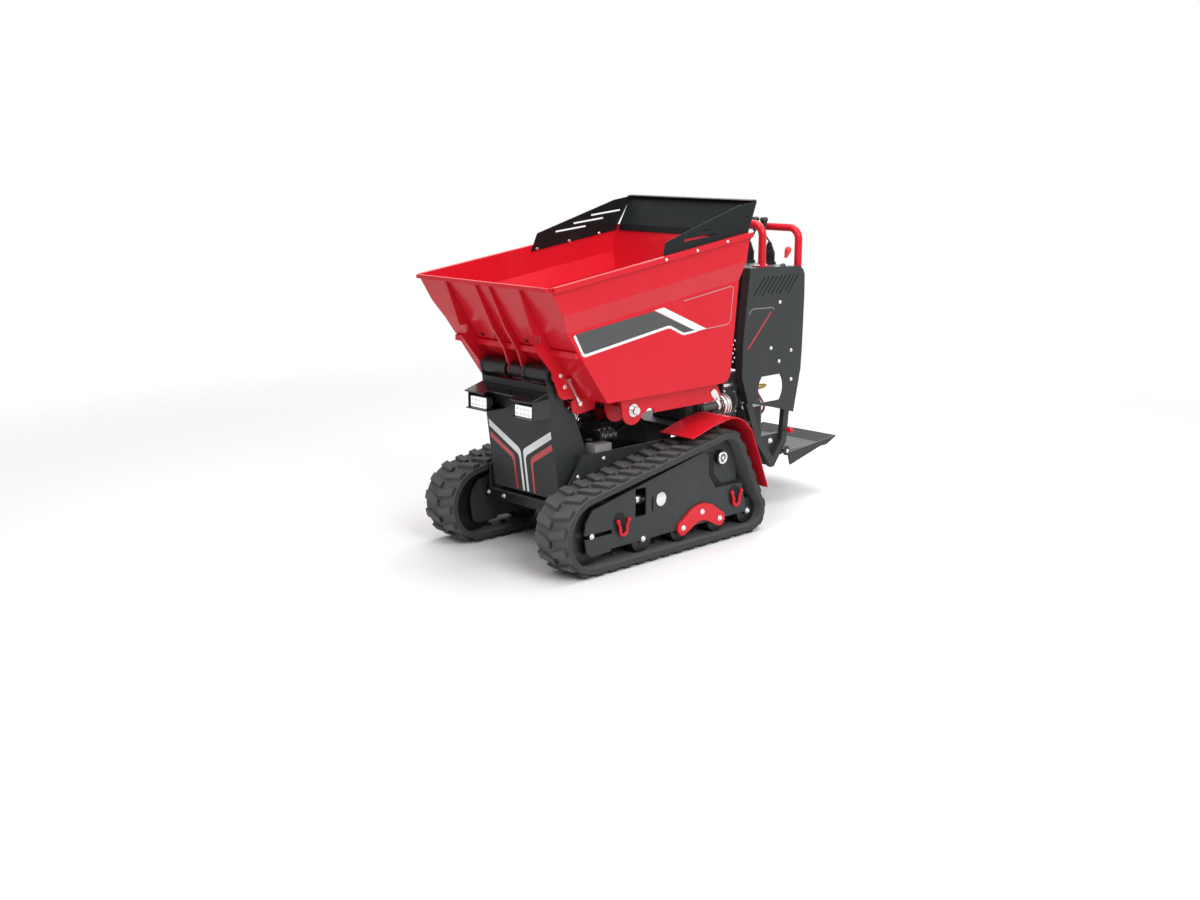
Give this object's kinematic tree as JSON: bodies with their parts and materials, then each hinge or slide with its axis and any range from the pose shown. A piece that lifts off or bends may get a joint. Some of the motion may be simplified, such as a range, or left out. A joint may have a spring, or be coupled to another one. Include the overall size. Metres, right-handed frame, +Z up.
{
  "type": "tracked site dumper",
  "caption": "Small site dumper on rubber tracks, with a front-tipping steel skip on a tower, a rear control console and a folding stand-on platform.",
  "frame": {"origin": "on the ground under the middle of the machine", "axes": "+X forward to the skip's lip, +Y to the machine's left, +Z up"},
  "size_m": [1.946, 0.86, 1.3799],
  "materials": {
    "red_paint": "gloss",
    "grey_paint": "satin",
    "black_paint": "satin",
    "rubber": "matte",
    "steel": "satin",
    "aluminium": "satin",
    "lamp": "gloss",
    "black_plastic": "matte",
    "engine_iron": "satin"
  },
  "bodies": {
    "chassis": {"chassis_frame": "grey_paint", "tower": "grey_paint", "track_frame_left": "grey_paint", "track_frame_right": "grey_paint", "console_legs": "grey_paint", "console_left": "grey_paint", "console_right": "grey_paint", "console_top": "grey_paint", "cross_members": "black_paint", "fuel_tank": "black_paint", "hinge_sleeves": "black_paint", "lamp_hood": "black_paint", "idlers": "black_paint", "rollers": "black_paint", "drive_motors": "black_paint", "console_guard": "black_paint", "oil_tank": "black_paint", "bogie_rockers": "red_paint", "shackles": "red_paint", "fender_left": "red_paint", "fender_right": "red_paint", "handle_front": "red_paint", "handle_rear": "red_paint", "skip_lever": "red_paint", "platform_latch": "red_paint", "track_left": "rubber", "track_right": "rubber", "sprockets": "steel", "tube_caps": "steel", "platform_pins": "steel", "silencer": "aluminium", "valve_block": "aluminium", "lamps": "lamp", "drive_levers": "black_plastic", "engine": "engine_iron"},
    "skip": {"skip_left": "red_paint", "skip_right": "red_paint", "skip_front": "red_paint", "skip_floor": "red_paint", "skip_rear": "red_paint", "skip_ribs": "red_paint", "skip_rails": "red_paint", "hinge_pin": "black_paint", "skip_shafts": "steel", "board_left": "grey_paint", "board_right": "grey_paint", "board_rear": "grey_paint"},
    "ram_barrel": {"ram_barrel": "black_paint"},
    "ram_stage": {"ram_stage": "steel"},
    "ram_rod": {"ram_rod": "steel"},
    "platform": {"platform": "grey_paint"}
  },
  "joints": [
    {"name": "skip_tip", "type": "hinge", "parent": "chassis", "child": "skip", "pos_m": [0.774, 0, 0.745], "axis": [0, 1, 0], "range_deg": [0, 80]},
    {"name": "ram_swing", "type": "hinge", "parent": "chassis", "child": "ram_barrel", "pos_m": [0.6, 0, 0.264], "axis": [0, 1, 0], "range_deg": [0, 20]},
    {"name": "ram_first_stage", "type": "slide", "parent": "ram_barrel", "child": "ram_stage", "axis": [-0.3511, 0, 0.9363], "range_m": [0, 0.199]},
    {"name": "ram_second_stage", "type": "slide", "parent": "ram_stage", "child": "ram_rod", "axis": [-0.3511, 0, 0.9363], "range_m": [0, 0.199]},
    {"name": "platform_fold", "type": "hinge", "parent": "chassis", "child": "platform", "pos_m": [-0.612, 0, 0.248], "axis": [0, 1, 0], "range_deg": [0, 70]}
  ],
  "couplings": [
    {"joint": "ram_swing", "follows": "skip_tip", "ratio": 0.22988},
    {"joint": "ram_first_stage", "follows": "skip_tip", "m_per_rad": 0.14222},
    {"joint": "ram_second_stage", "follows": "skip_tip", "m_per_rad": 0.14222}
  ]
}
